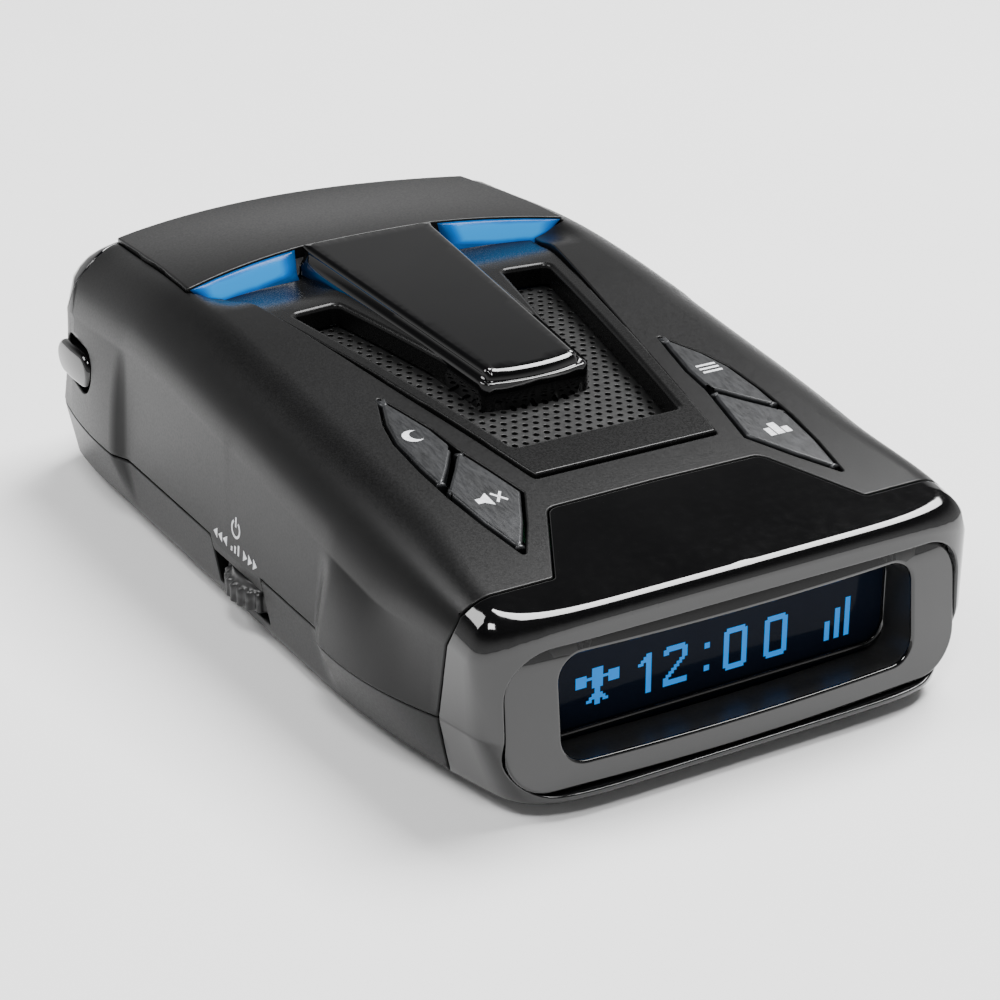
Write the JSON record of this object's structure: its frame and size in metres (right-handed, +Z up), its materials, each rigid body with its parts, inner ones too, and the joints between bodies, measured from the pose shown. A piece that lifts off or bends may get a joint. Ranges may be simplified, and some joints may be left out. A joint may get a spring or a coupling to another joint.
{
  "type": "radar detector",
  "caption": "Dashboard radar detector: matt black case, gloss display hood, grille with raised spine, lit blue alert lenses, top keys, side jog wheel and bracket release.",
  "frame": {"origin": "middle of the footprint, on the plane that the rubber feet rest on", "axes": "+X to the driver's right, +Y towards the windshield, +Z up; the display faces -Y"},
  "size_m": [0.071, 0.115, 0.0336],
  "materials": {
    "matt_case": "matt black ABS with a fine moulded grain",
    "gloss_black": "piano-black moulded plastic",
    "satin_plate": "satin black painted plastic",
    "smoked_window": "dark tinted acrylic",
    "display_glow": "lit dot-matrix display",
    "dark_window": "infrared-clear dark plastic",
    "black_mesh": "black painted perforated sheet",
    "blue_lens": "lit clear blue plastic",
    "led_white": "diffused LED bars",
    "key_metal": "dark brushed trim with printed symbols",
    "key_rubber": "moulded silicone",
    "circuit_board": "green solder mask",
    "flex_cable": "amber polyimide flex",
    "switch_metal": "stamped cover",
    "capacitor_sleeve": "shrink sleeve",
    "die_cast": "bare die casting",
    "tinned_steel": "tinned sheet",
    "ceramic": "fired ceramic with a silvered patch",
    "basket_steel": "black pressed steel",
    "cone_paper": "pressed paper cone",
    "ferrite": "sintered ferrite in a plated cup",
    "socket_black": "moulded socket",
    "wheel_plastic": "ribbed black plastic",
    "inner_plastic": "natural moulded plastic",
    "pin_steel": "ground wire and pin",
    "screw_steel": "black zinc screws",
    "foot_rubber": "soft self-adhesive feet",
    "label_foil": "blank foil label"
  },
  "bodies": {
    "case": {"upper_shell": "matt_case", "lower_shell": "matt_case", "display_hood": "gloss_black", "display_bezel": "gloss_black", "display_window": "smoked_window", "oled_display": "display_glow", "display_board": "circuit_board", "display_flex": "flex_cable", "grille_frame": "satin_plate", "speaker_mesh": "black_mesh", "spine_cover": "gloss_black", "front_cap": "satin_plate", "front_window": "dark_window", "alert_lens_left": "blue_lens", "alert_lens_right": "blue_lens", "alert_leds": "led_white", "key_pad_left": "key_rubber", "key_pad_right": "key_rubber", "key_board_left": "circuit_board", "key_board_right": "circuit_board", "key_switches": "switch_metal", "main_board": "circuit_board", "capacitors": "capacitor_sleeve", "horn_antenna": "die_cast", "rf_shield": "tinned_steel", "laser_sensor": "dark_window", "gps_antenna": "ceramic", "speaker_frame": "basket_steel", "speaker_cone": "cone_paper", "speaker_magnet": "ferrite", "dc_jack": "socket_black", "usb_port": "tinned_steel", "power_switch": "inner_plastic", "wheel_spring": "pin_steel", "release_spring": "pin_steel", "housing_screws": "screw_steel", "rubber_feet": "foot_rubber", "rating_label": "label_foil"},
    "key_night_mode_cap": {"key_night_mode": "key_metal"},
    "key_mute_cap": {"key_mute": "key_metal"},
    "key_settings_cap": {"key_settings": "key_metal"},
    "key_city_mode_cap": {"key_city_mode": "key_metal"},
    "wheel_slider": {"wheel_carrier": "inner_plastic", "wheel_pin": "pin_steel"},
    "thumb_wheel": {"volume_wheel": "wheel_plastic"},
    "release": {"release_button": "gloss_black", "release_latch": "inner_plastic"}
  },
  "joints": [
    {"name": "key_night_mode_press", "type": "slide", "parent": "case", "child": "key_night_mode_cap", "axis": [0, 0, -1], "range_m": [0, 0.0006], "stiffness_N_per_m": 400},
    {"name": "key_mute_press", "type": "slide", "parent": "case", "child": "key_mute_cap", "axis": [0, 0, -1], "range_m": [0, 0.0006], "stiffness_N_per_m": 400},
    {"name": "key_settings_press", "type": "slide", "parent": "case", "child": "key_settings_cap", "axis": [0, 0, -1], "range_m": [0, 0.0006], "stiffness_N_per_m": 400},
    {"name": "key_city_mode_press", "type": "slide", "parent": "case", "child": "key_city_mode_cap", "axis": [0, 0, -1], "range_m": [0, 0.0006], "stiffness_N_per_m": 400},
    {"name": "power_press", "type": "slide", "parent": "case", "child": "wheel_slider", "axis": [1, 0, 0], "range_m": [0, 0.0008], "stiffness_N_per_m": 500, "deforming": ["wheel_spring"]},
    {"name": "volume_jog", "type": "hinge", "parent": "wheel_slider", "child": "thumb_wheel", "pos_m": [-0.0273, -0.0025, 0.0054], "axis": [0, 0, 1], "range_deg": [-14, 14], "stiffness_Nm_per_rad": 0.01},
    {"name": "bracket_release", "type": "slide", "parent": "case", "child": "release", "axis": [1, 0, 0], "range_m": [0, 0.002], "stiffness_N_per_m": 600, "deforming": ["release_spring"]}
  ]
}
